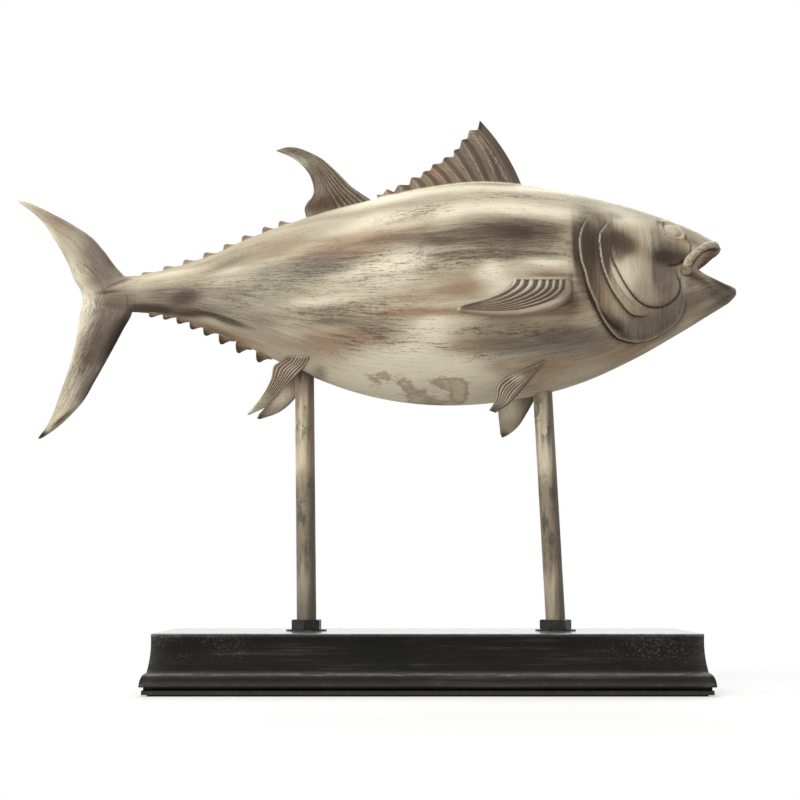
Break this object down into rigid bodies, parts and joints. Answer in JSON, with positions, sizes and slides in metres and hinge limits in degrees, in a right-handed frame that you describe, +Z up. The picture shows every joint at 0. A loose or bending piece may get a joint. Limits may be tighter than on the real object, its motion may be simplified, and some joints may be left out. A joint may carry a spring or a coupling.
{
  "type": "fish figurine",
  "caption": "Cast resin tuna ornament with separately cast fins, held above a moulded black wooden plinth by slim painted posts and nuts.",
  "frame": {"origin": "centre of the felt underside, on the surface that the ornament stands on", "axes": "+X along the plinth towards the fish's head, +Y from the fish's right side to its left, +Z up"},
  "size_m": [0.4562, 0.112, 0.3589],
  "materials": {
    "resin": "matt hand-painted resin, cream and grey-brown dry brushing with dark washes in the lines",
    "post_paint": "steel rod painted cream and pinkish brown, mottled grey-green, black at the foot",
    "black_steel": "blackened nut and washer, satin",
    "black_wood": "black satin paint with grey brush streaks, rubbed pale along the edges",
    "board_wood": "thin hardboard, dark edge",
    "felt": "thin black felt",
    "brass": "plain turned brass",
    "steel": "plain zinc-grey steel"
  },
  "bodies": {
    "root": {"fish_body": "resin", "tail_fin": "resin", "first_dorsal_fin": "resin", "second_dorsal_fin": "resin", "pectoral_fin_right": "resin", "pectoral_fin_left": "resin", "pelvic_fin_right": "resin", "pelvic_fin_left": "resin", "anal_fin_right": "resin", "anal_fin_left": "resin", "tail_dowels": "steel", "rear_post": "post_paint", "front_post": "post_paint", "rear_post_insert": "brass", "front_post_insert": "brass", "rear_top_nut": "black_steel", "rear_top_washer": "black_steel", "front_top_nut": "black_steel", "front_top_washer": "black_steel", "rear_bottom_nut": "steel", "rear_bottom_washer": "steel", "front_bottom_nut": "steel", "front_bottom_washer": "steel", "plinth_block": "black_wood", "bottom_board": "board_wood", "board_screws": "steel", "felt_sheet": "felt"}
  },
  "joints": []
}
